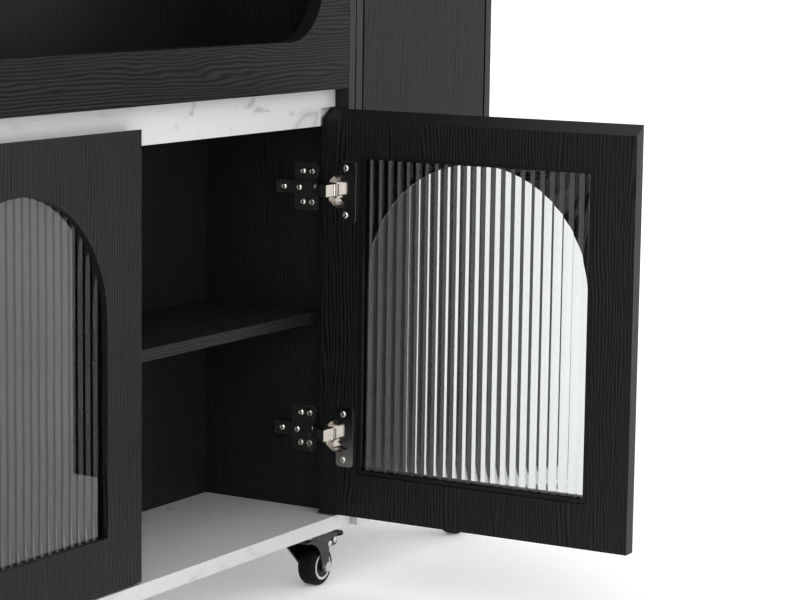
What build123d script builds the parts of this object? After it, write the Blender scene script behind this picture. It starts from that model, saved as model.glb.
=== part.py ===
from build123d import *
import os

# Rolling kitchen island: a wide cabinet with a pair of inset arched glass doors and an open niche
# above them, and a narrow end cabinet with one tall door, under one worktop and on five casters.
# Millimetres, +Z up from the floor, +X to the right seen from the front, +Y to the back.
# The right glass door stands open, as it does in use. The other two doors are shut.

# Boards and whole cabinet
BOARD = 15.0
SIDE_BOARD = 12.0
SHELF_BOARD = 12.0
WORKTOP_THICK = 18.0
WORKTOP_OVERHANG = 15.0
WORKTOP_CORNER = 4.0
DEPTH = 400.0
FRONT_ROOM_DEPTH = 175.0
UNIT_GAP = 2.0
FLOOR_TO_BASE = 60.0

# Glass doors
DOOR_WIDTH = 350.0
DOOR_HEIGHT = 420.0
DOOR_THICK = 15.0
HINGE_GAP = 3.5
MEETING_GAP = 3.0
DOOR_FOOT_GAP = 2.3
TOP_BEVEL = 10.0
RECESS_MARGIN = 45.0
RECESS_DEPTH = 9.0
ARCH_MARGIN = 51.5
ARCH_TOP_MARGIN = 48.0
GLASS_CLEARANCE = 1.0
GLASS_THICK = 3.0
FLUTE_HEIGHT = 1.2
FLUTE_COUNT = 24
BEAD_WIDTH = 4.0
BEAD_THICK = 3.0
BEAD_CLEARANCE = 0.1
DOOR_OPEN_ANGLE = 91.3

# Front above the doors
FINGER_GAP = 20.5
RAIL_HEIGHT = 38.0
RAIL_NOTCH_CLEARANCE = 0.8
STOP_GAP = 0.8
PANEL_HEIGHT = 350.0
PANEL_BORDER = 50.0
PANEL_CORNER = 60.0
PANEL_SIDE_GAP = 0.4

# Shelves
SHELF_ABOVE_BASE = 198.5
SHELF_SETBACK = 33.0
SHELF_SIDE_GAP = 0.5
SHELF_PIN_RADIUS = 2.5
SHELF_PIN_LENGTH = 16.0
SHELF_PIN_DEPTH = 8.0
SHELF_PIN_FROM_EDGE = 32.0
END_SHELF_ABOVE_BASE = 395.0

# End cabinet, whose base leads the front plane a little
END_DOOR_WIDTH = 257.0
END_BASE_LEAD = 7.6
END_DOOR_GAP = 3.0
END_DOOR_TOP_GAP = 2.5
NOTCH_RADIUS = 24.0
NOTCH_DEPTH = 9.0
NOTCH_BELOW_TOP = 160.0

# Concealed hinges
AXIS_FROM_DOOR_EDGE = 10.5
CUP_RADIUS = 17.5
CUP_DEPTH = 11.5
CUP_WALL = 1.0
CUP_FROM_DOOR_EDGE = 22.5
CUP_CLEARANCE = 0.1
CUP_SCREW_SPACING = 48.0
CUP_SCREW_OFFSET = 6.0
FLANGE_HEIGHT = 62.0
FLANGE_TO_EDGE = 1.5
FLANGE_FROM_EDGE = 18.5
FLANGE_THICK = 1.2
FLANGE_CORNER = 4.0
HINGE_PIN_RADIUS = 1.5
PIN_FIT = 0.05
BARREL_RADIUS = 2.6
LEAF_THICK = 2.0
LEAF_HEIGHT = 12.0
EAR_GAP = 0.4
EAR_THICK = 1.5
EAR_REACH = 4.5
HOOK_REACH = 12.5
HOOK_LEAN = 4.0
HOOK_LENGTH = 10.4
HOOK_END = 27.0
ARM_HEIGHT = 13.5
ARM_STAND = 12.0
ARM_START = 24.5
ARM_LENGTH = 47.6
ARM_WALL = 1.5
ARM_REAR_SCREW = 9.0
ARM_FRONT_SCREW = 27.5
PLATE_LENGTH = 32.0
PLATE_HEIGHT = 50.0
PLATE_THICK = 1.6
PLATE_CORNER = 3.0
PLATE_LUG_LENGTH = 5.5
PLATE_LUG_RISE = 3.0
PLATE_LUG_INNER = 9.5
PLATE_LUG_OUTER = 22.0
PLATE_SCREW_SPACING = 32.0
PLATE_SCREW_FROM_FRONT = 22.0
PLATE_SCREW_PITCH = 10.5
ARM_FIT = 0.2
HINGE_FROM_DOOR_END = 83.0
END_HINGE_FROM_DOOR_END = 110.0

# Small screws
SCREW_RADIUS = 1.8
SCREW_LENGTH = 9.0
SCREW_HEAD_RADIUS = 3.4
SCREW_HEAD_HEIGHT = 1.4
SCREW_CROSS_WIDTH = 0.8
SCREW_CROSS_DEPTH = 0.6
SCREW_FIT = 0.05

# Casters
WHEEL_RADIUS = 21.0
WHEEL_WIDTH = 20.0
HUB_RADIUS = 14.5
HUB_BOSS_RADIUS = 6.0
HUB_RIM_WIDTH = 2.5
HUB_RECESS = 3.0
TYRE_SHOULDER = 5.5
TYRE_SEAT = 0.05
AXLE_RADIUS = 3.0
AXLE_FIT = 0.06
NUT_ACROSS = 10.0
NUT_HEIGHT = 4.0
TRAIL = 18.0
FORK_THICK = 2.0
FORK_WHEEL_GAP = 1.5
FORK_FOOT_RADIUS = 6.3
FORK_BACK = 17.0
FORK_AHEAD = 40.0
FORK_SIDE_HEIGHT = 7.5
FORK_EAR_HEIGHT = 12.0
FORK_EAR_CORNER = 5.0
FORK_ARCH_RADIUS = 27.4
FORK_ARCH_BACK = 16.3
FORK_ARCH_HEIGHT = 23.2
CASTER_PLATE_SIZE = 38.0
CASTER_PLATE_THICK = 2.0
CASTER_PLATE_CORNER = 3.0
CASTER_SCREW_SPACING = 28.0
RACE_RADIUS = 15.0
RACE_HEIGHT = 5.0
RACE_GAP = 0.4
KINGPIN_RADIUS = 4.0
KINGPIN_FIT = 0.08
KINGPIN_HEAD_RADIUS = 6.5
KINGPIN_HEAD_HEIGHT = 1.2
CASTER_INSET_X = 52.0
END_CASTER_INSET_X = 59.0
CASTER_INSET_Y = 21.5
PEDAL_WIDTH = 15.0
PEDAL_PAD_WIDTH = 20.0
PEDAL_PAD_LENGTH = 16.0
PEDAL_PAD_CORNER = 7.0
PEDAL_THICK = 3.2
PEDAL_REACH = 33.5
PEDAL_PIVOT_RADIUS = 2.0
PEDAL_PIVOT_FIT = 0.08
PEDAL_PIVOT_BACK = 11.0
PEDAL_PIVOT_DROP = 2.6
SHOE_DROP = 9.6
SHOE_START = 4.5
SHOE_WIDTH = 3.0

# Bolts that tie the two neighbouring walls together
BOLT_RADIUS = 3.0
BOLT_HEAD_RADIUS = 6.0
BOLT_HEAD_HEIGHT = 1.5
BOLT_FROM_WALL_END = 90.0
BOLT_FROM_BACK = 40.0
BOLT_PITCH = 110.0

# Extra length of a cutting tool past the face that it starts from
CUT_OVER = 1.0

# Worked-out widths, with the island's middle at x = 0
MAIN_INNER = 2 * DOOR_WIDTH + 2 * HINGE_GAP + MEETING_GAP
END_INNER = END_DOOR_WIDTH + END_DOOR_GAP + HINGE_GAP
BODY_WIDTH = MAIN_INNER + END_INNER + 4 * SIDE_BOARD + UNIT_GAP
X_LEFT = -BODY_WIDTH / 2
X_MAIN_LEFT_IN = X_LEFT + SIDE_BOARD
X_MAIN_RIGHT_IN = X_MAIN_LEFT_IN + MAIN_INNER
X_MAIN_RIGHT = X_MAIN_RIGHT_IN + SIDE_BOARD
X_END_LEFT = X_MAIN_RIGHT + UNIT_GAP
X_END_LEFT_IN = X_END_LEFT + SIDE_BOARD
X_END_RIGHT_IN = X_END_LEFT_IN + END_INNER
X_RIGHT = X_END_RIGHT_IN + SIDE_BOARD

# Worked-out heights, from the floor
Z_BASE_TOP = FLOOR_TO_BASE + BOARD
Z_DOOR = Z_BASE_TOP + DOOR_FOOT_GAP
Z_PANEL = Z_DOOR + DOOR_HEIGHT + FINGER_GAP
Z_PANEL_TOP = Z_PANEL + PANEL_HEIGHT
Z_RAIL = Z_PANEL - RAIL_HEIGHT
Z_NICHE_FLOOR_TOP = Z_PANEL + BOARD
Z_TOP = Z_PANEL_TOP + WORKTOP_THICK
Z_SHELF = Z_BASE_TOP + SHELF_ABOVE_BASE
Z_END_SHELF = Z_BASE_TOP + END_SHELF_ABOVE_BASE
END_DOOR_HEIGHT = Z_PANEL_TOP - END_DOOR_TOP_GAP - Z_DOOR

# Worked-out depths, with the front plane at y = 0
Y_RAIL = DOOR_THICK + STOP_GAP
Y_REAR_ROOM = FRONT_ROOM_DEPTH + BOARD
Y_END_BACK = DEPTH - BOARD

# Each door turns about an upright axis at the middle of its thickness, near its hinge edge
AXIS_TO_WALL = AXIS_FROM_DOOR_EDGE + HINGE_GAP
X_RIGHT_AXIS = X_MAIN_RIGHT_IN - AXIS_TO_WALL
X_LEFT_AXIS = X_MAIN_LEFT_IN + AXIS_TO_WALL
X_END_AXIS = X_END_RIGHT_IN - AXIS_TO_WALL
Y_AXIS = DOOR_THICK / 2

# The places of the hinges above the foot of each door
GLASS_HINGE_HEIGHTS = [HINGE_FROM_DOOR_END, DOOR_HEIGHT - HINGE_FROM_DOOR_END]
END_HINGE_HEIGHTS = [END_HINGE_FROM_DOOR_END, END_DOOR_HEIGHT - END_HINGE_FROM_DOOR_END]

# Caster kingpins: three along the front and one at each back corner
X_CASTER_LEFT = X_LEFT + CASTER_INSET_X
X_CASTER_RIGHT = X_RIGHT - END_CASTER_INSET_X
CASTERS = {
    "front_left": (X_CASTER_LEFT, CASTER_INSET_Y),
    "front_middle": (X_MAIN_RIGHT - CASTER_INSET_X, CASTER_INSET_Y),
    "front_right": (X_CASTER_RIGHT, CASTER_INSET_Y - END_BASE_LEAD),
    "rear_left": (X_CASTER_LEFT, DEPTH - CASTER_INSET_Y),
    "rear_right": (X_CASTER_RIGHT, DEPTH - CASTER_INSET_Y),
}
END_CASTERS = ["front_right", "rear_right"]
BRAKED_CASTERS = ["front_left", "front_middle", "front_right"]

# How far a door's corner reaches from its axis as it turns
DOOR_SWEEP = (AXIS_FROM_DOOR_EDGE**2 + (DOOR_THICK / 2) ** 2) ** 0.5


def block(x0, x1, y0, y1, z0, z1):
    """A box between two corners."""
    return Pos((x0 + x1) / 2, (y0 + y1) / 2, (z0 + z1) / 2) * Box(x1 - x0, y1 - y0, z1 - z0)


def rod_x(radius, x0, x1, y, z):
    """A round rod along X."""
    return Pos((x0 + x1) / 2, y, z) * Rot(0, 90, 0) * Cylinder(radius, x1 - x0)


def rod_y(radius, x, y0, y1, z):
    """A round rod along Y."""
    return Pos(x, (y0 + y1) / 2, z) * Rot(90, 0, 0) * Cylinder(radius, y1 - y0)


def rod_z(radius, x, y, z0, z1):
    """A round rod along Z."""
    return Pos(x, y, (z0 + z1) / 2) * Cylinder(radius, z1 - z0)


def hexagon_y(across, x, y0, y1, z):
    """A six-sided head or nut along Y."""
    flat = RegularPolygon(across / 2, 6, major_radius=False)
    return Pos(x, y1, z) * Rot(90, 0, 0) * extrude(flat, amount=y1 - y0)


def flat_bar_z(points, z0, z1):
    """An outline in plan, raised from z0 to z1."""
    return Pos(0, 0, z0) * extrude(make_face(Polyline(*points, close=True)), amount=z1 - z0)


def side_shape_y(face, y0, y1):
    """An outline drawn in X and Z, carried from y0 to y1."""
    return Pos(0, y1, 0) * Rot(90, 0, 0) * extrude(face, amount=y1 - y0)


def group(pieces):
    """Separate pieces kept together under one name."""
    return Compound([solid for piece in pieces for solid in piece.solids()])


def small_screw():
    """A cross-head screw whose head seats on z = 0 and whose shank runs down."""
    head = rod_z(SCREW_HEAD_RADIUS, 0, 0, 0, SCREW_HEAD_HEIGHT)
    head = chamfer(head.faces().sort_by(Axis.Z)[-1].edges(), SCREW_HEAD_HEIGHT / 2)
    cross_top = SCREW_HEAD_HEIGHT + CUT_OVER
    cross_foot = SCREW_HEAD_HEIGHT - SCREW_CROSS_DEPTH
    arm = SCREW_HEAD_RADIUS / 2
    half = SCREW_CROSS_WIDTH / 2
    head -= block(-arm, arm, -half, half, cross_foot, cross_top)
    head -= block(-half, half, -arm, arm, cross_foot, cross_top)
    return head + rod_z(SCREW_RADIUS, 0, 0, -SCREW_LENGTH, 0)


def screw_hole():
    """The hole that a small screw fits, from its seat down."""
    return rod_z(SCREW_RADIUS + SCREW_FIT, 0, 0, -SCREW_LENGTH - SCREW_FIT, CUT_OVER)


# Where the screws of a hinge sit, from the door's axis at the middle height of the hinge, for a
# hinge on the right-hand wall. The door runs to -X and the room is at +Y.

CUP_X = AXIS_FROM_DOOR_EDGE - CUP_FROM_DOOR_EDGE
INNER_FACE = DOOR_THICK / 2
CUP_FLOOR = INNER_FACE - CUP_DEPTH
ARM_TOP_X = AXIS_TO_WALL - ARM_STAND
PLATE_X = AXIS_TO_WALL - PLATE_THICK
PLATE_START = ARM_START + PLATE_LUG_LENGTH
PLATE_SCREW_Y = ARM_START + PLATE_SCREW_FROM_FRONT
ARM_END = ARM_START + ARM_LENGTH


def cup_screw_places():
    """Screw seats on the cup's flange: the screws run to -Y."""
    x = CUP_X - CUP_SCREW_OFFSET
    y = INNER_FACE + FLANGE_THICK
    half = CUP_SCREW_SPACING / 2
    return [Pos(x, y, z) * Rot(-90, 0, 0) for z in (-half, half)]


def plate_screw_places():
    """Screw seats on the mounting plate: the screws run to +X, into the wall."""
    half = PLATE_SCREW_SPACING / 2
    rows = (PLATE_SCREW_Y - PLATE_SCREW_PITCH, PLATE_SCREW_Y)
    return [Pos(PLATE_X, y, z) * Rot(0, -90, 0) for y in rows for z in (-half, half)]


def arm_screw_places():
    """Screw seats on the arm: the screws run to +X, into the plate's spine."""
    rows = (ARM_END - ARM_REAR_SCREW, ARM_END - ARM_FRONT_SCREW)
    return [Pos(ARM_TOP_X, y, 0) * Rot(0, -90, 0) for y in rows]


def hinge_cup():
    """The pressed cup with its flange, and the two ears that hold the hinge pin."""
    cup = rod_y(CUP_RADIUS, CUP_X, CUP_FLOOR, INNER_FACE, 0)
    flange = RectangleRounded(FLANGE_TO_EDGE + FLANGE_FROM_EDGE, FLANGE_HEIGHT, FLANGE_CORNER)
    flange_x = CUP_X + (FLANGE_TO_EDGE - FLANGE_FROM_EDGE) / 2
    cup += Pos(flange_x, 0, 0) * side_shape_y(flange, INNER_FACE, INNER_FACE + FLANGE_THICK)
    hollow_radius = CUP_RADIUS - CUP_WALL
    cup -= rod_y(hollow_radius, CUP_X, CUP_FLOOR + CUP_WALL, INNER_FACE + 2 * FLANGE_THICK, 0)
    ear_start = LEAF_HEIGHT / 2 + EAR_GAP
    ear_end = ear_start + EAR_THICK
    within = rod_y(CUP_RADIUS, CUP_X, CUP_FLOOR, INNER_FACE, 0)
    for z0, z1 in ((ear_start, ear_end), (-ear_end, -ear_start)):
        ear = block(-EAR_REACH, EAR_REACH, CUP_FLOOR, BARREL_RADIUS, z0, z1)
        cup += ear & within
    cup -= rod_z(HINGE_PIN_RADIUS + PIN_FIT, 0, 0, -ear_end - PIN_FIT, ear_end + PIN_FIT)
    for place in cup_screw_places():
        cup -= place * screw_hole()
    return cup


def hinge_pin():
    """The pin, as long as the two ears and what lies between them."""
    half = LEAF_HEIGHT / 2 + EAR_GAP + EAR_THICK
    return rod_z(HINGE_PIN_RADIUS, 0, 0, -half, half)


def hinge_arm():
    """The arm: a channel over the plate's spine, and a cranked leaf that hooks into the cup."""
    half_leaf = LEAF_THICK / 2
    half_height = LEAF_HEIGHT / 2
    outer = -HOOK_REACH - half_leaf
    inner = -HOOK_REACH + half_leaf
    crank = HOOK_LENGTH + half_leaf
    channel_in = ARM_TOP_X + ARM_WALL
    leaf_points = [
        (0, -half_leaf),
        (outer - HOOK_LEAN, -half_leaf),
        (outer, crank),
        (ARM_TOP_X, HOOK_END + half_leaf),
        (channel_in, HOOK_END + half_leaf),
        (channel_in, HOOK_END - half_leaf),
        (inner, crank - LEAF_THICK),
        (inner - HOOK_LEAN, half_leaf),
        (0, half_leaf),
    ]
    arm = flat_bar_z(leaf_points, -half_height, half_height)
    arm += rod_z(BARREL_RADIUS, 0, 0, -half_height, half_height)
    half_arm = ARM_HEIGHT / 2
    foot = PLATE_X - ARM_FIT
    arm += block(ARM_TOP_X, foot, ARM_START, ARM_END, -half_arm, half_arm)
    hollow = half_arm - ARM_WALL
    arm -= block(channel_in, foot + CUT_OVER, ARM_START - CUT_OVER, ARM_END + CUT_OVER, -hollow, hollow)
    arm += flat_bar_z(leaf_points, -half_height, half_height)
    arm -= rod_z(HINGE_PIN_RADIUS + PIN_FIT, 0, 0, -half_arm, half_arm)
    for place in arm_screw_places():
        arm -= place * screw_hole()
    return arm


def hinge_plate():
    """The mounting plate: two wings with a bent-up lug each, and the spine that carries the arm."""
    length = PLATE_LENGTH - PLATE_LUG_LENGTH
    wing = RectangleRounded(length, PLATE_HEIGHT, PLATE_CORNER)
    plate = Pos(PLATE_X, PLATE_START + length / 2, 0) * extrude(Plane.YZ * wing, amount=PLATE_THICK)
    lug = [
        (PLATE_X, PLATE_START),
        (PLATE_X - PLATE_LUG_RISE, ARM_START),
        (PLATE_X - PLATE_LUG_RISE + PLATE_THICK, ARM_START),
        (AXIS_TO_WALL, PLATE_START),
    ]
    plate += flat_bar_z(lug, PLATE_LUG_INNER, PLATE_LUG_OUTER)
    plate += flat_bar_z(lug, -PLATE_LUG_OUTER, -PLATE_LUG_INNER)
    half_spine = ARM_HEIGHT / 2 - ARM_WALL - ARM_FIT
    spine_top = ARM_TOP_X + ARM_WALL + ARM_FIT / 2
    spine_start = HOOK_END + LEAF_THICK
    spine_end = ARM_END - ARM_WALL
    plate += block(spine_top, AXIS_TO_WALL, spine_start, spine_end, -half_spine, half_spine)
    for place in plate_screw_places() + arm_screw_places():
        plate -= place * screw_hole()
    return plate


def fluted_pane(width, height):
    """Reeded glass: flat outside, with upright round ribs on the inside. It starts at its corner."""
    pitch = width / FLUTE_COUNT
    corners = [(0, GLASS_THICK), (0, 0), (width, 0), (width, GLASS_THICK)]
    edges = [Line(start, end) for start, end in zip(corners, corners[1:])]
    for i in range(FLUTE_COUNT):
        start = (i * pitch, GLASS_THICK)
        top = ((i + 0.5) * pitch, GLASS_THICK + FLUTE_HEIGHT)
        end = ((i + 1) * pitch, GLASS_THICK)
        edges.append(ThreePointArc(start, top, end))
    return extrude(make_face(edges), amount=height)


# A glass door, hinged on its right, with its axis at x = 0, y = 0 and its foot at z = 0

DOOR_FREE = AXIS_FROM_DOOR_EDGE - DOOR_WIDTH
RECESS_X0 = DOOR_FREE + RECESS_MARGIN
RECESS_X1 = AXIS_FROM_DOOR_EDGE - RECESS_MARGIN
RECESS_Z1 = DOOR_HEIGHT - RECESS_MARGIN
RECESS_FLOOR = INNER_FACE - RECESS_DEPTH


def glass_door_frame():
    """A board with a bevelled top edge, an arch through it and a recess behind for the glass."""
    front = -DOOR_THICK / 2
    side = [(front, 0), (INNER_FACE, 0), (INNER_FACE, DOOR_HEIGHT - TOP_BEVEL), (front, DOOR_HEIGHT)]
    outline = make_face(Plane.YZ * Polyline(*side, close=True))
    frame = Pos(DOOR_FREE, 0, 0) * extrude(outline, amount=DOOR_WIDTH, dir=(1, 0, 0))
    frame -= block(RECESS_X0, RECESS_X1, RECESS_FLOOR, INNER_FACE + CUT_OVER, RECESS_MARGIN, RECESS_Z1)
    arch_x0 = DOOR_FREE + ARCH_MARGIN
    arch_x1 = AXIS_FROM_DOOR_EDGE - ARCH_MARGIN
    arch_radius = (arch_x1 - arch_x0) / 2
    spring = DOOR_HEIGHT - ARCH_TOP_MARGIN - arch_radius
    frame -= block(arch_x0, arch_x1, -DOOR_THICK, DOOR_THICK, ARCH_MARGIN, spring)
    frame -= rod_y(arch_radius, (arch_x0 + arch_x1) / 2, -DOOR_THICK, DOOR_THICK, spring)
    for z in GLASS_HINGE_HEIGHTS:
        frame -= cup_bore(z)
    return frame


def cup_bore(z):
    """The blind hole for a hinge cup, with the holes for its two screws."""
    depth = CUP_DEPTH + CUP_CLEARANCE
    bore = rod_y(CUP_RADIUS + CUP_CLEARANCE, CUP_X, INNER_FACE - depth, INNER_FACE + CUT_OVER, 0)
    for place in cup_screw_places():
        bore += place * screw_hole()
    return Pos(0, 0, z) * bore


def glass_door_pane():
    """The pane, which lies on the floor of the recess."""
    width = RECESS_X1 - RECESS_X0 - 2 * GLASS_CLEARANCE
    height = RECESS_Z1 - RECESS_MARGIN - 2 * GLASS_CLEARANCE
    corner = Pos(RECESS_X0 + GLASS_CLEARANCE, RECESS_FLOOR, RECESS_MARGIN + GLASS_CLEARANCE)
    return corner * fluted_pane(width, height)


def glass_door_bead():
    """The strip that holds the pane in the recess, pressed in around its edge."""
    y0 = RECESS_FLOOR + GLASS_THICK + FLUTE_HEIGHT + BEAD_CLEARANCE
    y1 = y0 + BEAD_THICK
    x0 = RECESS_X0 + BEAD_CLEARANCE
    x1 = RECESS_X1 - BEAD_CLEARANCE
    z0 = RECESS_MARGIN + BEAD_CLEARANCE
    z1 = RECESS_Z1 - BEAD_CLEARANCE
    bead = block(x0, x1, y0, y1, z0, z1)
    w = BEAD_WIDTH
    return bead - block(x0 + w, x1 - w, y0 - CUT_OVER, y1 + CUT_OVER, z0 + w, z1 - w)


def end_door_board():
    """The tall door: a plain board with a finger notch in its free edge."""
    free = AXIS_FROM_DOOR_EDGE - END_DOOR_WIDTH
    door = block(free, AXIS_FROM_DOOR_EDGE, -DOOR_THICK / 2, INNER_FACE, 0, END_DOOR_HEIGHT)
    notch_x = free + NOTCH_DEPTH - NOTCH_RADIUS
    notch_z = END_DOOR_HEIGHT - NOTCH_BELOW_TOP
    door -= rod_y(NOTCH_RADIUS, notch_x, -DOOR_THICK, DOOR_THICK, notch_z)
    for z in END_HINGE_HEIGHTS:
        door -= cup_bore(z)
    return door


def at_hinges(heights, make):
    """The same piece at each hinge of a door."""
    return group([Pos(0, 0, z) * make() for z in heights])


def cup_screws(heights):
    """Both flange screws of every hinge on a door."""
    places = [Pos(0, 0, z) * place for z in heights for place in cup_screw_places()]
    return group([place * small_screw() for place in places])


def glass_door_parts():
    """Every piece that swings with a glass door."""
    return {
        "frame": glass_door_frame(),
        "glass": glass_door_pane(),
        "glass_bead": glass_door_bead(),
        "hinge_cups": at_hinges(GLASS_HINGE_HEIGHTS, hinge_cup),
        "cup_screws": cup_screws(GLASS_HINGE_HEIGHTS),
    }


def end_door_parts():
    """Every piece that swings with the tall door."""
    return {
        "board": end_door_board(),
        "hinge_cups": at_hinges(END_HINGE_HEIGHTS, hinge_cup),
        "cup_screws": cup_screws(END_HINGE_HEIGHTS),
    }


def hinge_sites():
    """The middle of each hinge on its wall: x, height, and whether it is on the left-hand wall."""
    sites = [(X_RIGHT_AXIS, Z_DOOR + z, False) for z in GLASS_HINGE_HEIGHTS]
    sites += [(X_LEFT_AXIS, Z_DOOR + z, True) for z in GLASS_HINGE_HEIGHTS]
    sites += [(X_END_AXIS, Z_DOOR + z, False) for z in END_HINGE_HEIGHTS]
    return sites


def at_site(site, piece):
    """A hinge piece on its wall. A left-hand wall takes the mirror image."""
    x, z, left = site
    if left:
        piece = mirror(piece, about=Plane.YZ)
    return Pos(x, Y_AXIS, z) * piece


def wall_screw_holes(sites):
    """The holes in a wall for the mounting plates' screws."""
    return [at_site(site, place * screw_hole()) for site in sites for place in plate_screw_places()]


def all_hinges(make):
    """The same fixed piece at every hinge of the island."""
    return group([at_site(site, make()) for site in hinge_sites()])


def fixed_hinge_screws():
    """The screws of all the mounting plates and arms."""
    screws = [place * small_screw() for place in plate_screw_places() + arm_screw_places()]
    return group([at_site(site, screw) for site in hinge_sites() for screw in screws])


# Shelves rest on short pins in the walls. A shelf is given by its room and its underside.

SHELVES = {
    "front_shelf": (X_MAIN_LEFT_IN, X_MAIN_RIGHT_IN, SHELF_SETBACK, FRONT_ROOM_DEPTH, Z_SHELF),
    "rear_shelf_lower": (X_MAIN_LEFT_IN, X_MAIN_RIGHT_IN, Y_REAR_ROOM, DEPTH, Z_SHELF),
    "rear_shelf_upper": (X_MAIN_LEFT_IN, X_MAIN_RIGHT_IN, Y_REAR_ROOM, DEPTH, Z_PANEL),
    "end_shelf": (X_END_LEFT_IN, X_END_RIGHT_IN, SHELF_SETBACK, Y_END_BACK, Z_END_SHELF),
}


def shelf(name):
    """One shelf, a little narrower than its room."""
    x0, x1, y0, y1, z = SHELVES[name]
    return block(x0 + SHELF_SIDE_GAP, x1 - SHELF_SIDE_GAP, y0, y1, z, z + SHELF_BOARD)


def pin_rods(name, radius, depth):
    """Four rods under a shelf, each let into its wall by the given depth."""
    x0, x1, y0, y1, z = SHELVES[name]
    out = SHELF_PIN_LENGTH - SHELF_PIN_DEPTH
    middle = z - SHELF_PIN_RADIUS
    rods = []
    for y in (y0 + SHELF_PIN_FROM_EDGE, y1 - SHELF_PIN_FROM_EDGE):
        rods.append(rod_x(radius, x0 - depth, x0 + out, y, middle))
        rods.append(rod_x(radius, x1 - out, x1 + depth, y, middle))
    return rods


def shelf_pins():
    """All the shelf pins."""
    rods = [rod for name in SHELVES for rod in pin_rods(name, SHELF_PIN_RADIUS, SHELF_PIN_DEPTH)]
    return group(rods)


def bolt_places():
    """The heights and depths of the bolts between the two cabinets."""
    heights = (Z_BASE_TOP + BOLT_FROM_WALL_END, Z_PANEL_TOP - BOLT_FROM_WALL_END)
    return [(DEPTH - BOLT_FROM_BACK - back, z) for z in heights for back in (0, BOLT_PITCH)]


def connector_bolts():
    """Bolts with a low round head at each end, through both neighbouring walls."""
    bolts = []
    for y, z in bolt_places():
        bolt = rod_x(BOLT_RADIUS, X_MAIN_RIGHT_IN, X_END_LEFT_IN, y, z)
        bolt += rod_x(BOLT_HEAD_RADIUS, X_MAIN_RIGHT_IN - BOLT_HEAD_HEIGHT, X_MAIN_RIGHT_IN, y, z)
        bolt += rod_x(BOLT_HEAD_RADIUS, X_END_LEFT_IN, X_END_LEFT_IN + BOLT_HEAD_HEIGHT, y, z)
        bolts.append(bolt)
    return group(bolts)


def upright(x0, sites, bolted):
    """A side wall from the base to the worktop, drilled for what it carries."""
    x1 = x0 + SIDE_BOARD
    wall = block(x0, x1, 0, DEPTH, Z_BASE_TOP, Z_PANEL_TOP)
    for hole in wall_screw_holes(sites):
        wall -= hole
    for name in SHELVES:
        for rod in pin_rods(name, SHELF_PIN_RADIUS + PIN_FIT, SHELF_PIN_DEPTH + PIN_FIT):
            wall -= rod
    if bolted:
        for y, z in bolt_places():
            wall -= rod_x(BOLT_RADIUS + PIN_FIT, x0 - CUT_OVER, x1 + CUT_OVER, y, z)
    return wall


def base(x0, x1, front, names):
    """A base board, drilled from below for the screws of its casters."""
    board = block(x0, x1, front, DEPTH, FLOOR_TO_BASE, Z_BASE_TOP)
    for name in names:
        for place in caster_screw_places(name):
            board -= place * screw_hole()
    return board


def face_panel():
    """The front of the niche: a board with a large round-cornered opening."""
    x0 = X_MAIN_LEFT_IN + PANEL_SIDE_GAP
    x1 = X_MAIN_RIGHT_IN - PANEL_SIDE_GAP
    panel = block(x0, x1, 0, DOOR_THICK, Z_PANEL, Z_PANEL_TOP)
    opening = RectangleRounded(MAIN_INNER - 2 * PANEL_BORDER, PANEL_HEIGHT - 2 * PANEL_BORDER, PANEL_CORNER)
    cutter = side_shape_y(opening, -CUT_OVER, DOOR_THICK + CUT_OVER)
    middle = (X_MAIN_LEFT_IN + X_MAIN_RIGHT_IN) / 2
    return panel - Pos(middle, 0, Z_PANEL + PANEL_HEIGHT / 2) * cutter


def front_rail():
    """The rail behind the door tops, notched at each end where a door's hinge edge swings in."""
    rail = block(X_MAIN_LEFT_IN, X_MAIN_RIGHT_IN, Y_RAIL, Y_RAIL + BOARD, Z_RAIL, Z_PANEL)
    reach = DOOR_SWEEP + RAIL_NOTCH_CLEARANCE
    top = Z_DOOR + DOOR_HEIGHT + RAIL_NOTCH_CLEARANCE
    for x0, x1 in ((X_MAIN_LEFT_IN, X_LEFT_AXIS + reach), (X_RIGHT_AXIS - reach, X_MAIN_RIGHT_IN)):
        rail -= block(x0, x1, 0, Y_AXIS + reach, Z_RAIL - CUT_OVER, top)
    return rail


def worktop():
    """The top board, wider than the body all round, with rounded corners."""
    width = BODY_WIDTH + 2 * WORKTOP_OVERHANG
    depth = DEPTH + 2 * WORKTOP_OVERHANG
    slab = extrude(RectangleRounded(width, depth, WORKTOP_CORNER), amount=WORKTOP_THICK)
    return Pos(0, DEPTH / 2, Z_PANEL_TOP) * slab


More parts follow.
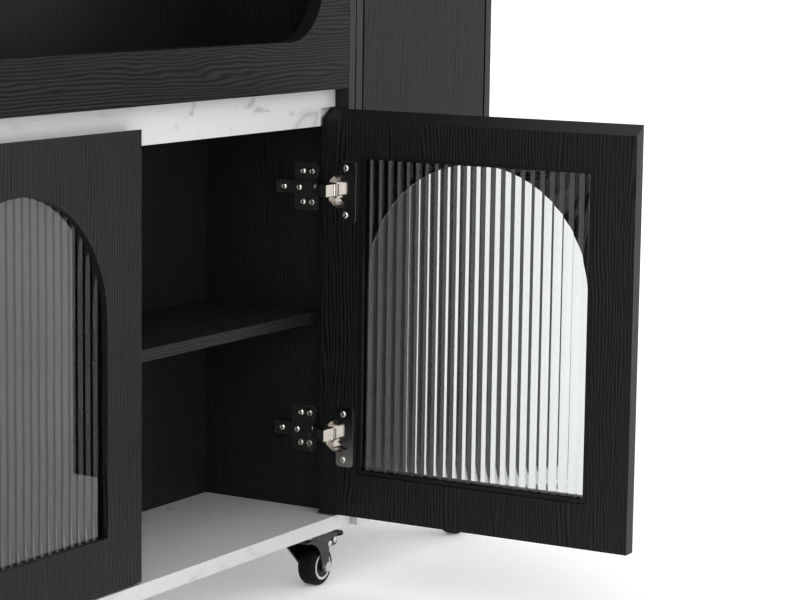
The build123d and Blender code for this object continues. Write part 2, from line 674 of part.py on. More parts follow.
def carcass_parts():
    """Every board and fastener that stands still."""
    sites = hinge_sites()
    x0, x1 = X_MAIN_LEFT_IN, X_MAIN_RIGHT_IN
    main_casters = [name for name in CASTERS if name not in END_CASTERS]
    parts = {
        "base_board": base(X_LEFT, X_MAIN_RIGHT, 0, main_casters),
        "left_wall": upright(X_LEFT, sites[2:4], False),
        "right_wall": upright(X_MAIN_RIGHT_IN, sites[0:2], True),
        "partition": block(x0, x1, FRONT_ROOM_DEPTH, Y_REAR_ROOM, Z_BASE_TOP, Z_PANEL_TOP),
        "front_rail": front_rail(),
        "niche_floor": block(x0, x1, DOOR_THICK, FRONT_ROOM_DEPTH, Z_PANEL, Z_NICHE_FLOOR_TOP),
        "face_panel": face_panel(),
        "worktop": worktop(),
        "end_inner_wall": upright(X_END_LEFT, [], True),
        "end_outer_wall": upright(X_END_RIGHT_IN, sites[4:6], False),
        "end_base": base(X_END_LEFT, X_RIGHT, -END_BASE_LEAD, END_CASTERS),
        "end_back": block(X_END_LEFT_IN, X_END_RIGHT_IN, Y_END_BACK, DEPTH, Z_BASE_TOP, Z_PANEL_TOP),
        "shelf_pins": shelf_pins(),
        "connector_bolts": connector_bolts(),
        "hinge_plates": all_hinges(hinge_plate),
        "hinge_arms": all_hinges(hinge_arm),
        "hinge_pins": all_hinges(hinge_pin),
        "hinge_screws": fixed_hinge_screws(),
        "caster_plates": caster_plates(),
        "caster_screws": caster_screws(),
    }
    for name in SHELVES:
        parts[name] = shelf(name)
    return parts


# Casters. Each is built around its kingpin at x = 0, y = 0, with the floor at z = 0.

CASTER_PLATE_Z = FLOOR_TO_BASE - CASTER_PLATE_THICK
RACE_Z = CASTER_PLATE_Z - RACE_HEIGHT
CROWN_TOP = RACE_Z - RACE_GAP
CROWN_FOOT = CROWN_TOP - FORK_THICK
LEG_IN = WHEEL_WIDTH / 2 + FORK_WHEEL_GAP
LEG_OUT = LEG_IN + FORK_THICK
PEDAL_X = FORK_AHEAD - PEDAL_PIVOT_BACK
PEDAL_Z = CROWN_FOOT - PEDAL_PIVOT_DROP


def caster_screw_places(name):
    """Screw seats under a caster's plate: the screws run up into the base."""
    x, y = CASTERS[name]
    half = CASTER_SCREW_SPACING / 2
    corners = [(x + a, y + b) for a in (-half, half) for b in (-half, half)]
    return [Pos(*corner, CASTER_PLATE_Z) * Rot(180, 0, 0) for corner in corners]


def caster_plate(name):
    """The top plate with its ball race and the riveted kingpin."""
    outline = RectangleRounded(CASTER_PLATE_SIZE, CASTER_PLATE_SIZE, CASTER_PLATE_CORNER)
    plate = Pos(0, 0, CASTER_PLATE_Z) * extrude(outline, amount=CASTER_PLATE_THICK)
    plate += rod_z(RACE_RADIUS, 0, 0, RACE_Z, CASTER_PLATE_Z)
    head_top = CROWN_FOOT - RACE_GAP
    plate += rod_z(KINGPIN_RADIUS, 0, 0, head_top - KINGPIN_HEAD_HEIGHT, RACE_Z)
    plate += rod_z(KINGPIN_HEAD_RADIUS, 0, 0, head_top - KINGPIN_HEAD_HEIGHT, head_top)
    x, y = CASTERS[name]
    plate = Pos(x, y, 0) * plate
    for place in caster_screw_places(name):
        plate -= place * screw_hole()
    return plate


def caster_plates():
    """The fixed tops of all the casters."""
    return group([caster_plate(name) for name in CASTERS])


def caster_screws():
    """Four screws for each caster."""
    places = [place for name in CASTERS for place in caster_screw_places(name)]
    return group([place * small_screw() for place in places])


def fork_leg():
    """One side of the fork: a tapered plate down to the axle, with an ear ahead for the pedal."""
    x0, x1 = -FORK_BACK, TRAIL + FORK_FOOT_RADIUS
    band = Pos((x0 + x1) / 2, CROWN_TOP - FORK_SIDE_HEIGHT / 2) * Rectangle(x1 - x0, FORK_SIDE_HEIGHT)
    foot = Pos(TRAIL, WHEEL_RADIUS) * Circle(FORK_FOOT_RADIUS)
    ear = RectangleRounded(FORK_AHEAD, FORK_EAR_HEIGHT, FORK_EAR_CORNER)
    ear = Pos(FORK_AHEAD / 2, CROWN_TOP - FORK_EAR_HEIGHT / 2) * ear
    return make_hull(band.edges() + foot.edges()) + ear


def caster_fork(braked):
    """The swivelling fork: a crown with two legs, the front one cut back by a round arch."""
    leg = fork_leg()
    arched = leg - Pos(-FORK_ARCH_BACK, FORK_ARCH_HEIGHT) * Circle(FORK_ARCH_RADIUS)
    fork = side_shape_y(leg, LEG_IN, LEG_OUT) + side_shape_y(arched, -LEG_OUT, -LEG_IN)
    fork += block(-FORK_BACK, FORK_AHEAD, -LEG_OUT, LEG_OUT, CROWN_FOOT, CROWN_TOP)
    fork -= rod_z(KINGPIN_RADIUS + KINGPIN_FIT, 0, 0, CROWN_FOOT - CUT_OVER, CROWN_TOP + CUT_OVER)
    fork -= rod_y(AXLE_RADIUS + AXLE_FIT, TRAIL, -LEG_OUT - CUT_OVER, LEG_OUT + CUT_OVER, WHEEL_RADIUS)
    if braked:
        pivot = PEDAL_PIVOT_RADIUS + PEDAL_PIVOT_FIT
        fork -= rod_y(pivot, PEDAL_X, -LEG_OUT - CUT_OVER, LEG_OUT + CUT_OVER, PEDAL_Z)
    return fork


def caster_axle():
    """The wheel bolt: six-sided head at the back, nut at the front."""
    end = LEG_OUT + NUT_HEIGHT
    axle = rod_y(AXLE_RADIUS, TRAIL, -end, end, WHEEL_RADIUS)
    axle += hexagon_y(NUT_ACROSS, TRAIL, LEG_OUT, end, WHEEL_RADIUS)
    return axle + hexagon_y(NUT_ACROSS, TRAIL, -end, -LEG_OUT, WHEEL_RADIUS)


def caster_hub():
    """The wheel's core, with a dished ring in each face."""
    half = WHEEL_WIDTH / 2
    hub = rod_y(HUB_RADIUS, TRAIL, -half, half, WHEEL_RADIUS)
    dish = HUB_RADIUS - HUB_RIM_WIDTH
    for y0, y1 in ((half - HUB_RECESS, half + CUT_OVER), (-half - CUT_OVER, HUB_RECESS - half)):
        ring = rod_y(dish, TRAIL, y0, y1, WHEEL_RADIUS)
        hub -= ring - rod_y(HUB_BOSS_RADIUS, TRAIL, y0, y1, WHEEL_RADIUS)
    return hub - rod_y(AXLE_RADIUS + AXLE_FIT, TRAIL, -half - CUT_OVER, half + CUT_OVER, WHEEL_RADIUS)


def caster_tyre():
    """The tread, with round shoulders."""
    half = WHEEL_WIDTH / 2
    tyre = rod_y(WHEEL_RADIUS, TRAIL, -half, half, WHEEL_RADIUS)
    tyre = fillet(tyre.edges().filter_by(GeomType.CIRCLE), TYRE_SHOULDER)
    return tyre - rod_y(HUB_RADIUS + TYRE_SEAT, TRAIL, -half - CUT_OVER, half + CUT_OVER, WHEEL_RADIUS)


def caster_pedal():
    """The brake lever: a pad to step on, a pivot through the fork and a shoe above the tread."""
    half = PEDAL_THICK / 2
    side = PEDAL_WIDTH / 2
    pad_middle = PEDAL_X + PEDAL_REACH - PEDAL_PAD_LENGTH / 2
    lever = block(PEDAL_X - half, pad_middle, -side, side, PEDAL_Z - half, PEDAL_Z + half)
    pad = RectangleRounded(PEDAL_PAD_LENGTH, PEDAL_PAD_WIDTH, PEDAL_PAD_CORNER)
    lever += Pos(pad_middle, 0, PEDAL_Z - half) * extrude(pad, amount=PEDAL_THICK)
    shoe_x = PEDAL_X + SHOE_START
    shoe = block(shoe_x, shoe_x + SHOE_WIDTH, -side, side, PEDAL_Z - SHOE_DROP, PEDAL_Z)
    return lever + shoe + rod_y(PEDAL_PIVOT_RADIUS, PEDAL_X, -LEG_OUT, LEG_OUT, PEDAL_Z)


def caster_parts(name):
    """Every piece that swivels with a caster."""
    braked = name in BRAKED_CASTERS
    parts = {
        "fork": caster_fork(braked),
        "axle": caster_axle(),
        "hub": caster_hub(),
        "tyre": caster_tyre(),
    }
    if braked:
        parts["brake_pedal"] = caster_pedal()
    x, y = CASTERS[name]
    return {f"caster_{name}_{key}": Pos(x, y, 0) * piece for key, piece in parts.items()}


def island():
    """All the pieces in place, with the front plane at y = 0."""
    parts = carcass_parts()
    door = glass_door_parts()
    swung = Pos(X_RIGHT_AXIS, Y_AXIS, Z_DOOR) * Rot(0, 0, DOOR_OPEN_ANGLE)
    shut = Pos(X_LEFT_AXIS, Y_AXIS, Z_DOOR)
    for key, piece in door.items():
        parts["right_door_" + key] = swung * piece
        parts["left_door_" + key] = shut * mirror(piece, about=Plane.YZ)
    for key, piece in end_door_parts().items():
        parts["end_door_" + key] = Pos(X_END_AXIS, Y_AXIS, Z_DOOR) * piece
    for name in CASTERS:
        parts.update(caster_parts(name))
    return parts


def frame_shift(parts):
    """How far the pieces move in Y so that the origin is under the middle of their box."""
    y_back = DEPTH + WORKTOP_OVERHANG
    y_front = parts["right_door_frame"].bounding_box().min.Y
    return -(y_front + y_back) / 2


PARTS = island()
Y_SHIFT = frame_shift(PARTS)

os.makedirs("parts", exist_ok=True)
for node, piece in PARTS.items():
    export_step(Pos(0, Y_SHIFT, 0) * piece, f"parts/{node}.step")
print("nodes", len(PARTS), "y shift", round(Y_SHIFT, 4))
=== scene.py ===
import math

import bpy
from mathutils import Matrix, Vector


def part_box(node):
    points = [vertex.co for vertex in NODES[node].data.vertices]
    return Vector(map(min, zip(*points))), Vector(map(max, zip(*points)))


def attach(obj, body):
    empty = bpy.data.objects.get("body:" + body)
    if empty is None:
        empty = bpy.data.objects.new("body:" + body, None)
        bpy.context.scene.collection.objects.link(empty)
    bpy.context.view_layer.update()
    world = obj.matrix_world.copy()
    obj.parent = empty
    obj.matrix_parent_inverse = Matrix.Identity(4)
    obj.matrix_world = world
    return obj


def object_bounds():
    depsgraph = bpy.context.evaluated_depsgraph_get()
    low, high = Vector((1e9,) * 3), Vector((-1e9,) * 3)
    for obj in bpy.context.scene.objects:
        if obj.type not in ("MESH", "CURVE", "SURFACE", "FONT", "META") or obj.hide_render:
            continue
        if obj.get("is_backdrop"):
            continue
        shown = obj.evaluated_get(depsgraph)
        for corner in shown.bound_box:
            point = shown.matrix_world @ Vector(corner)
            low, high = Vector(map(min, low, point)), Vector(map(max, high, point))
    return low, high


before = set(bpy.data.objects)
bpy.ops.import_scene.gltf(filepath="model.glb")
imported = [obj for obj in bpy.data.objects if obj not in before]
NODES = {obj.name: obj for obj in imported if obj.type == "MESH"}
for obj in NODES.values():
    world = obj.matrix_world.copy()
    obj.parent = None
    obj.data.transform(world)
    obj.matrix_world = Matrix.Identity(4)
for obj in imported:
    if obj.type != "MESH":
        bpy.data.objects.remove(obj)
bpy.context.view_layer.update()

scene = bpy.context.scene
scene.view_settings.view_transform = "Standard"
scene.view_settings.look = "None"


# Materials: colours are linear, scales are per metre, and a pair of scales is (across, lengthwise)

BLACK_GLOSS = 0.2
DULL_INDEX = 1.28
FOIL_INDEX = 1.45
GRAIN_DEPTH = 0.0003
GRAIN_BUMP = 0.6
GRAIN_STOPS = (0.25, 0.75)
GRAIN_ROUGH = (0.50, 0.36)
DRIFT_SCALES = (20.0, 3.2)
PATCH_SCALES = (26.0, 5.0)
PORE_SCALES = (1100.0, 38.0)
GRAIN_WANDER = 46.0
GRAIN_BIAS = 0.18
LINE_SHARE = 0.45
PORE_SHARE = 0.64
INSIDE_DARK = (0.0060, 0.0060, 0.0066)
INSIDE_LIGHT = (0.0210, 0.0210, 0.0222)
DOOR_DARK = (0.0008, 0.0008, 0.0010)
DOOR_LIGHT = (0.0150, 0.0150, 0.0160)
PANEL_DARK = (0.0015, 0.0015, 0.0017)
PANEL_LIGHT = (0.0170, 0.0170, 0.0180)
TALL_DARK = (0.0040, 0.0040, 0.0043)
TALL_LIGHT = (0.0230, 0.0230, 0.0240)
MARBLE_WHITE = (0.64, 0.64, 0.636)
VEIN_EDGE = (0.57, 0.57, 0.572)
VEIN_GREY = (0.44, 0.44, 0.447)
MARBLE_GLOSS = 0.3
MARBLE_ROUGH = (0.28, 0.42)
MARBLE_SPECK = (700.0, 700.0, 700.0)
MARBLE_DEPTH = 0.00004
VEIN_SCALES = (3.1, 3.1, 4.6)
VEIN_TURN = (0.4, 0.3, 0.7)
VEIN_REGION_SCALES = (4.0, 4.0, 4.0)
VEIN_REGION_TURN = (0.1, 0.9, 0.2)
VEIN_REGION_FROM = 0.55
VEIN_REGION_FADE = 0.7
BLOTCH_SCALES = (30.0, 30.0, 60.0)
BLOTCH_TURN = (0.2, 0.1, 0.0)
BLOTCH_FROM = 0.72
BLOTCH_FADE = 0.3
VEIN_WIDTH = 0.012
VEIN_FADE = 0.035
METAL_LINE_SCALES = (2600.0, 120.0)
METAL_SMUDGE = (90.0, 90.0, 90.0)
METAL_DEPTH = 0.00004
MOULD_GRAIN = (1500.0, 1500.0, 1500.0)
MOULD_SCUFF = (60.0, 60.0, 60.0)
MOULD_DEPTH = 0.00008
GLASS_TINT = (0.68, 0.70, 0.70, 1.0)
GLASS_INDEX = 1.58
GLASS_WAVES = (40.0, 40.0, 9.0)
GLASS_ROUGH = (0.0, 0.016)
GLASS_DEPTH = 0.00001
FLOOR_GRAIN = (260.0, 260.0, 260.0)
FLOOR_LOW = (0.955, 0.955, 0.955)
FLOOR_HIGH = (0.975, 0.975, 0.975)
FLOOR_DEPTH = 0.0001


class Nodes:
    """A material's node tree, built a node at a time."""

    def __init__(self, name):
        self.material = bpy.data.materials.new(name)
        self.material.use_nodes = True
        self.tree = self.material.node_tree
        self.shader = self.tree.nodes["Principled BSDF"]
        self.coord = self.tree.nodes.new("ShaderNodeTexCoord").outputs["Object"]

    def set(self, **values):
        """Constants on the shader's own sockets."""
        for name, value in values.items():
            self.shader.inputs[name.replace("_", " ")].default_value = value

    def link(self, output, name):
        self.tree.links.new(output, self.shader.inputs[name])

    def stretched(self, scale, turn=(0, 0, 0)):
        node = self.tree.nodes.new("ShaderNodeMapping")
        node.inputs["Scale"].default_value = scale
        node.inputs["Rotation"].default_value = turn
        self.tree.links.new(self.coord, node.inputs["Vector"])
        return node.outputs["Vector"]

    def split(self, vector):
        node = self.tree.nodes.new("ShaderNodeSeparateXYZ")
        self.tree.links.new(vector, node.inputs["Vector"])
        return list(node.outputs)

    def noise(self, vector, detail, roughness=0.5, distortion=0.0):
        node = self.tree.nodes.new("ShaderNodeTexNoise")
        node.inputs["Scale"].default_value = 1.0
        node.inputs["Detail"].default_value = detail
        node.inputs["Roughness"].default_value = roughness
        node.inputs["Distortion"].default_value = distortion
        self.tree.links.new(vector, node.inputs["Vector"])
        return node.outputs["Fac"]

    def math(self, kind, a, b=0.0):
        node = self.tree.nodes.new("ShaderNodeMath")
        node.operation = kind
        for socket, value in zip(node.inputs, (a, b)):
            if isinstance(value, (int, float)):
                socket.default_value = value
            else:
                self.tree.links.new(value, socket)
        return node.outputs[0]

    def ramp(self, fac, stops):
        node = self.tree.nodes.new("ShaderNodeValToRGB")
        ramp = node.color_ramp
        stops = list(stops)
        while len(ramp.elements) < len(stops):
            ramp.elements.new(0.5)
        for element, (place, colour) in zip(ramp.elements, stops):
            element.position = place
            element.color = (*colour, 1.0)
        self.tree.links.new(fac, node.inputs["Fac"])
        return node.outputs["Color"]

    def range(self, fac, low, high):
        node = self.tree.nodes.new("ShaderNodeMapRange")
        node.inputs["To Min"].default_value = low
        node.inputs["To Max"].default_value = high
        self.tree.links.new(fac, node.inputs["Value"])
        return node.outputs["Result"]

    def bump(self, height, depth, strength):
        node = self.tree.nodes.new("ShaderNodeBump")
        node.inputs["Strength"].default_value = strength
        node.inputs["Distance"].default_value = depth
        self.tree.links.new(height, node.inputs["Height"])
        self.link(node.outputs["Normal"], "Normal")


def along(axis, across, lengthwise):
    """A texture scale that is coarse along one axis and fine across it."""
    return tuple(lengthwise if i == axis else across for i in range(3))


def black_grain(name, axis, pitch, dark, light, index):
    """Black foil over chipboard, embossed with wavy parallel lines of wood grain along one axis."""
    n = Nodes(name)
    places = n.split(n.coord)
    across = n.math("ADD", places[(axis + 1) % 3], places[(axis + 2) % 3])
    drift = n.noise(n.stretched(along(axis, *DRIFT_SCALES)), 3.0, roughness=0.55, distortion=0.5)
    straight = n.math("MULTIPLY", across, 2 * math.pi / pitch)
    phase = n.math("ADD", straight, n.math("MULTIPLY", drift, GRAIN_WANDER))
    patches = n.noise(n.stretched(along(axis, *PATCH_SCALES)), 2.0)
    lines = n.math("MULTIPLY", n.math("SINE", phase), n.math("MULTIPLY", patches, LINE_SHARE))
    pores = n.noise(n.stretched(along(axis, *PORE_SCALES)), 3.0, roughness=0.6)
    grain = n.math("ADD", n.math("ADD", lines, GRAIN_BIAS), n.math("MULTIPLY", pores, PORE_SHARE))
    n.link(n.ramp(grain, zip(GRAIN_STOPS, (dark, light))), "Base Color")
    n.set(Specular_IOR_Level=BLACK_GLOSS, IOR=index)
    n.link(n.range(grain, *GRAIN_ROUGH), "Roughness")
    n.bump(grain, GRAIN_DEPTH, GRAIN_BUMP)
    return n.material


def white_marble():
    """Satin white foil, nearly plain, with a few soft grey veins and short blotches."""
    n = Nodes("white_marble")
    n.set(Specular_IOR_Level=MARBLE_GLOSS)
    big = n.noise(n.stretched(VEIN_SCALES, VEIN_TURN), 3.0, distortion=0.9)
    region = n.noise(n.stretched(VEIN_REGION_SCALES, VEIN_REGION_TURN), 2.0)
    vein = n.math("ABSOLUTE", n.math("SUBTRACT", big, 0.5))
    outside = n.math("MAXIMUM", n.math("SUBTRACT", VEIN_REGION_FROM, region), 0.0)
    vein = n.math("ADD", vein, n.math("MULTIPLY", outside, VEIN_REGION_FADE))
    blotch = n.noise(n.stretched(BLOTCH_SCALES, BLOTCH_TURN), 2.0, distortion=0.6)
    blotch = n.math("MAXIMUM", n.math("SUBTRACT", BLOTCH_FROM, blotch), 0.0)
    both = n.math("MINIMUM", vein, n.math("MULTIPLY", blotch, BLOTCH_FADE))
    stops = [(0.0, VEIN_GREY), (VEIN_WIDTH, VEIN_EDGE), (VEIN_FADE, MARBLE_WHITE)]
    n.link(n.ramp(both, stops), "Base Color")
    speck = n.noise(n.stretched(MARBLE_SPECK), 2.0)
    n.link(n.range(speck, *MARBLE_ROUGH), "Roughness")
    n.bump(speck, MARBLE_DEPTH, 0.3)
    return n.material


def brushed_metal(name, colour, low, high, axis=2):
    """Plated metal with fine drawn lines and faint smudges."""
    n = Nodes(name)
    n.set(Metallic=1.0)
    lines = n.noise(n.stretched(along(axis, *METAL_LINE_SCALES)), 2.0)
    smudge = n.noise(n.stretched(METAL_SMUDGE), 3.0)
    mixed = n.math("ADD", n.math("MULTIPLY", lines, 0.5), n.math("MULTIPLY", smudge, 0.5))
    dark = tuple(0.8 * c for c in colour)
    n.link(n.ramp(mixed, [(0.3, dark), (0.7, colour)]), "Base Color")
    n.link(n.range(mixed, low, high), "Roughness")
    n.bump(lines, METAL_DEPTH, 0.35)
    return n.material


def moulded(name, colour, low, high, gloss):
    """Moulded plastic or rubber with a fine even texture and scuffs."""
    n = Nodes(name)
    n.set(Specular_IOR_Level=gloss)
    fine = n.noise(n.stretched(MOULD_GRAIN), 2.0)
    scuff = n.noise(n.stretched(MOULD_SCUFF), 5.0, roughness=0.7)
    mixed = n.math("ADD", n.math("MULTIPLY", fine, 0.4), n.math("MULTIPLY", scuff, 0.6))
    light = tuple(min(1.0, 1.35 * c + 0.004) for c in colour)
    n.link(n.ramp(mixed, [(0.35, colour), (0.75, light)]), "Base Color")
    n.link(n.range(mixed, low, high), "Roughness")
    n.bump(fine, MOULD_DEPTH, 0.5)
    return n.material


def clear_glass():
    """Clear glass with a trace of waviness."""
    n = Nodes("reeded_glass")
    n.set(Base_Color=GLASS_TINT, Transmission_Weight=1.0, IOR=GLASS_INDEX)
    wave = n.noise(n.stretched(GLASS_WAVES), 2.0)
    n.link(n.range(wave, *GLASS_ROUGH), "Roughness")
    n.bump(wave, GLASS_DEPTH, 0.1)
    return n.material


GRAIN_ALONG_X = 0
GRAIN_ALONG_Z = 2
PANEL_GRAIN = black_grain("panel_grain", GRAIN_ALONG_X, 0.0038, PANEL_DARK, PANEL_LIGHT, DULL_INDEX)
TALL_GRAIN = black_grain("tall_door_grain", GRAIN_ALONG_Z, 0.0036, TALL_DARK, TALL_LIGHT, DULL_INDEX)
SHELF_GRAIN = black_grain("shelf_grain", GRAIN_ALONG_X, 0.0034, INSIDE_DARK, INSIDE_LIGHT, FOIL_INDEX)
BOARD_GRAIN = black_grain("board_grain", GRAIN_ALONG_Z, 0.0030, INSIDE_DARK, INSIDE_LIGHT, FOIL_INDEX)
DOOR_GRAIN = black_grain("door_grain", GRAIN_ALONG_Z, 0.0034, DOOR_DARK, DOOR_LIGHT, FOIL_INDEX)
MARBLE = white_marble()
NICKEL = brushed_metal("nickel", (0.78, 0.75, 0.71), 0.07, 0.18)
# Plated nickel with a dark base colour as painted reflection: the darkness stands in for the dark
# surroundings that the plated fork reflects.
NICKEL_PAINTED_DARK_REFLECTION = brushed_metal("nickel_painted_dark_reflection", (0.070, 0.064, 0.060), 0.22, 0.36)
ZINC = brushed_metal("zinc_steel", (0.66, 0.68, 0.70), 0.15, 0.32, 0)
TYRE = moulded("black_tyre", (0.0012, 0.0012, 0.0013), 0.5, 0.7, 0.12)
HUB = moulded("white_hub", (0.50, 0.49, 0.47), 0.35, 0.5, 0.4)
PLASTIC = moulded("black_plastic", (0.003, 0.003, 0.0032), 0.35, 0.55, 0.2)
GLASS = clear_glass()

WELD_REACH = 0.000002
FLAT_ANGLE = math.radians(0.5)
BEVEL_ANGLE = math.radians(30)
BOARD_EDGE = 0.0007
METAL_EDGE = 0.0005
SCREW_EDGE = 0.0003

MARBLE_NODES = ("base_board", "front_rail", "worktop", "end_base")
PANEL_NODES = ("face_panel", "niche_floor")
SHELF_NODES = ("front_shelf", "rear_shelf_lower", "rear_shelf_upper", "end_shelf")
METAL_WORDS = ("hinge", "caster", "bolts")
MOULDED_ENDS = ("_glass", "_tyre", "_hub", "_glass_bead")


def material_for(name):
    """The finish of a CAD node."""
    if name in MARBLE_NODES:
        return MARBLE
    if name in PANEL_NODES:
        return PANEL_GRAIN
    if name in SHELF_NODES:
        return SHELF_GRAIN
    if name == "end_door_board":
        return TALL_GRAIN
    if name.endswith("_door_frame"):
        return DOOR_GRAIN
    if name.endswith("_glass"):
        return GLASS
    if name.endswith("_glass_bead"):
        return PLASTIC
    if name.endswith("_tyre"):
        return TYRE
    if name.endswith("_hub"):
        return HUB
    if name.endswith("_brake_pedal"):
        return PLASTIC
    if "hinge" in name or name.endswith("_cup_screws"):
        return NICKEL
    # Forks and caster plates get the nickel whose dark colour is painted reflection.
    if name.endswith("_fork") or name == "caster_plates":
        return NICKEL_PAINTED_DARK_REFLECTION
    if "screws" in name or "caster_" in name or name in ("connector_bolts", "shelf_pins"):
        return ZINC
    return BOARD_GRAIN


def round_edges(node, width, segments):
    """A fine bevel on a node's sharp edges. Its shells are joined first, and flat areas made whole."""
    mesh = node.data
    for kind in ("custom_normal", "sharp_edge"):
        stored = mesh.attributes.get(kind)
        if stored:
            mesh.attributes.remove(stored)
    for polygon in mesh.polygons:
        polygon.use_smooth = True
    weld = node.modifiers.new("join", "WELD")
    weld.merge_threshold = WELD_REACH
    flat = node.modifiers.new("flat", "DECIMATE")
    flat.decimate_type = "DISSOLVE"
    flat.angle_limit = FLAT_ANGLE
    bevel = node.modifiers.new("edge", "BEVEL")
    bevel.width = width
    bevel.segments = segments
    bevel.limit_method = "ANGLE"
    bevel.angle_limit = BEVEL_ANGLE
    bevel.harden_normals = True
    bevel.use_clamp_overlap = True


for name, node in NODES.items():
    node.data.materials.clear()
    node.data.materials.append(material_for(name))
    if name.endswith(MOULDED_ENDS):
        continue
    if "screw" in name or "pins" in name:
        round_edges(node, SCREW_EDGE, 2)
    elif any(word in name for word in METAL_WORDS):
        round_edges(node, METAL_EDGE, 3)
    else:
        round_edges(node, BOARD_EDGE, 2)


# Small pieces on the casters, too fine for the CAD

RIVET_RADIUS = 0.00335
RIVET_RISE = 0.0011
RIVET_PLACES = ((0.0074, 0.0435), (0.0174, 0.0460))  # ahead of the axle, above the floor
CAP_INNER = 0.0035
CAP_OUTER = 0.0117
CAP_THICK = 0.0004
CAP_SOFT = 0.0001
RIVET_STEPS = 6
RIVET_SHOULDER = 0.35
SHARP_ANGLE = math.radians(40)
TURN_SIDES = 40
TURN_CENTRE = 0.00001


def turned(name, profile, place, material, body):
    """A piece turned about an axis along Y. Its closed profile is (radius, height towards -Y)."""
    points = []
    for radius, height in profile:
        for i in range(TURN_SIDES):
            angle = 2 * math.pi * i / TURN_SIDES
            points.append((place[0] + radius * math.cos(angle), place[1] - height,
                           place[2] + radius * math.sin(angle)))
    faces = []
    for ring in range(len(profile)):
        low = ring * TURN_SIDES
        high = (ring + 1) % len(profile) * TURN_SIDES
        for i in range(TURN_SIDES):
            j = (i + 1) % TURN_SIDES
            faces.append((low + i, high + i, high + j, low + j))
    mesh = bpy.data.meshes.new(name)
    mesh.from_pydata(points, [], faces)
    for polygon in mesh.polygons:
        polygon.use_smooth = True
    mesh.set_sharp_from_angle(angle=SHARP_ANGLE)
    mesh.materials.append(material)
    piece = bpy.data.objects.new(name, mesh)
    scene.collection.objects.link(piece)
    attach(piece, body)


def rivet_profile():
    """A low domed head, closed at its centre."""
    dome = []
    for i in range(RIVET_STEPS + 1):
        angle = 0.5 * math.pi * i / RIVET_STEPS
        radius = max(RIVET_RADIUS * math.sin(angle), TURN_CENTRE)
        height = RIVET_SHOULDER + (1 - RIVET_SHOULDER) * math.cos(angle)
        dome.append((radius, RIVET_RISE * height))
    return dome + [(RIVET_RADIUS, 0.0), (TURN_CENTRE, 0.0)]


def cap_profile():
    """A thin ring that closes the hub's dish round its boss, with softened rims."""
    shoulder = CAP_THICK - CAP_SOFT
    return [(CAP_INNER, 0.0), (CAP_INNER, shoulder), (CAP_INNER + CAP_SOFT, CAP_THICK),
            (CAP_OUTER - CAP_SOFT, CAP_THICK), (CAP_OUTER, shoulder), (CAP_OUTER, 0.0)]


for caster in ("caster_front_left", "caster_front_middle", "caster_front_right"):
    low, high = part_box(caster + "_tyre")
    wheel_x = (low.x + high.x) / 2
    ear_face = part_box(caster + "_fork")[0].y
    for number, (ahead, height) in enumerate(RIVET_PLACES, 1):
        place = (wheel_x + ahead, ear_face, height)
        turned(f"{caster}_rivet_{number}", rivet_profile(), place, ZINC, caster)
for caster in [name.removesuffix("_tyre") for name in NODES if name.endswith("_tyre")]:
    low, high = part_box(caster + "_tyre")
    hub_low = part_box(caster + "_hub")[0].y
    centre = ((low.x + high.x) / 2, hub_low, (low.z + high.z) / 2)
    turned(f"{caster}_dust_cap", cap_profile(), centre, PLASTIC, caster + "_wheel")


# Floor and light


FLOOR_HALF = 60.0
FLOOR_GLOW = 0.12


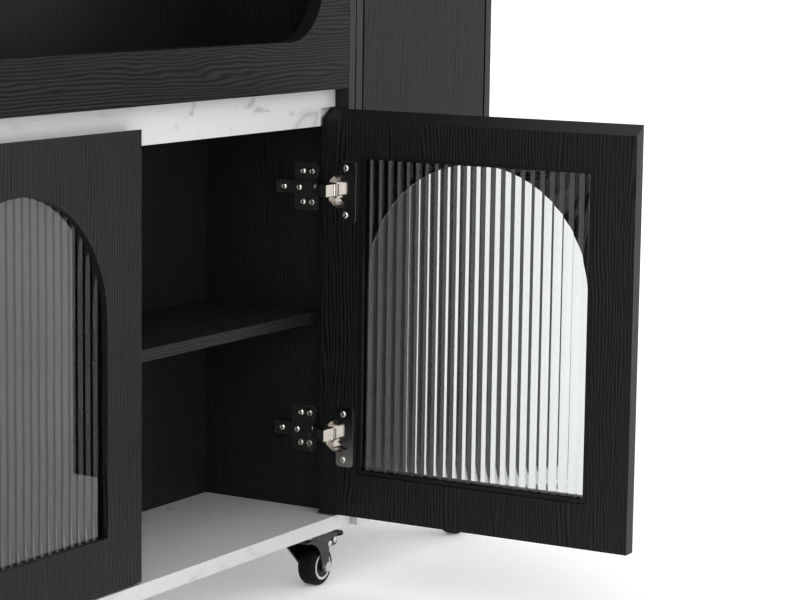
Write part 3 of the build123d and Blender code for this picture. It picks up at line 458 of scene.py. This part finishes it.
def floor():
    """A pale studio floor, with a trace of its own light so that the background stays white."""
    mesh = bpy.data.meshes.new("floor")
    corners = [(x * FLOOR_HALF, y * FLOOR_HALF, 0) for x, y in ((-1, -1), (1, -1), (1, 1), (-1, 1))]
    mesh.from_pydata(corners, [], [(0, 1, 2, 3)])
    obj = bpy.data.objects.new("floor", mesh)
    scene.collection.objects.link(obj)
    n = Nodes("floor_paper")
    fine = n.noise(n.stretched(FLOOR_GRAIN), 3.0)
    n.link(n.ramp(fine, [(0.3, FLOOR_LOW), (0.7, FLOOR_HIGH)]), "Base Color")
    n.set(Roughness=0.9, Emission_Color=(1.0, 1.0, 1.0, 1.0), Emission_Strength=FLOOR_GLOW)
    n.bump(fine, FLOOR_DEPTH, 0.2)
    mesh.materials.append(n.material)
    obj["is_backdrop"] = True


def area_light(name, place, target, side, power):
    """A square soft light that faces its target."""
    light = bpy.data.lights.new(name, "AREA")
    light.shape = "RECTANGLE"
    light.size = side
    light.size_y = side
    light.energy = power
    obj = bpy.data.objects.new(name, light)
    scene.collection.objects.link(obj)
    obj.location = place
    obj.rotation_mode = "QUATERNION"
    obj.rotation_quaternion = (Vector(target) - Vector(place)).to_track_quat("-Z", "Y")


def world_light(strength):
    """An even white surround."""
    world = bpy.data.worlds.new("studio")
    world.use_nodes = True
    background = world.node_tree.nodes["Background"]
    background.inputs["Color"].default_value = (1.0, 1.0, 1.0, 1.0)
    background.inputs["Strength"].default_value = strength
    scene.world = world


WORLD_STRENGTH = 1.2
KEY_PLACE, KEY_TARGET, KEY_SIDE, KEY_POWER = (-2.6, -3.2, 2.8), (0.1, 0.0, 0.4), 1.6, 22.0
FILL_PLACE, FILL_TARGET, FILL_SIDE, FILL_POWER = (2.6, -2.4, 1.6), (0.2, 0.0, 0.4), 1.4, 8.0

floor()
world_light(WORLD_STRENGTH)
area_light("key", KEY_PLACE, KEY_TARGET, KEY_SIDE, KEY_POWER)
area_light("fill", FILL_PLACE, FILL_TARGET, FILL_SIDE, FILL_POWER)


# Camera, fitted to the photograph

FOCAL_PIXELS = 2582.63
IMAGE_WIDTH = 800.0
SENSOR = 36.0
YAW = math.radians(59.596)
PITCH = math.radians(8.232)
ROLL = math.radians(0.828)
WALL_CORNER = Vector((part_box("right_wall")[0].x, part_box("face_panel")[0].y, 0.0))
EYE_FROM_CORNER = Vector((-2.2483, -1.3834, 0.6821))
EYE = WALL_CORNER + EYE_FROM_CORNER

camera = bpy.data.objects.new("camera", bpy.data.cameras.new("camera"))
scene.collection.objects.link(camera)
camera.data.sensor_width = SENSOR
camera.data.lens = FOCAL_PIXELS / IMAGE_WIDTH * SENSOR
forward = Vector((math.sin(YAW) * math.cos(PITCH), math.cos(YAW) * math.cos(PITCH), -math.sin(PITCH)))
level = Vector((math.cos(YAW), -math.sin(YAW), 0.0))
upward = level.cross(forward)
right = level * math.cos(ROLL) + upward * math.sin(ROLL)
above = upward * math.cos(ROLL) - level * math.sin(ROLL)
camera.matrix_world = Matrix.Translation(EYE) @ Matrix(
    (right, above, -forward)).transposed().to_4x4()
camera.data.clip_start = 0.05
camera.data.clip_end = 200.0
scene.camera = camera

low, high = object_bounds()
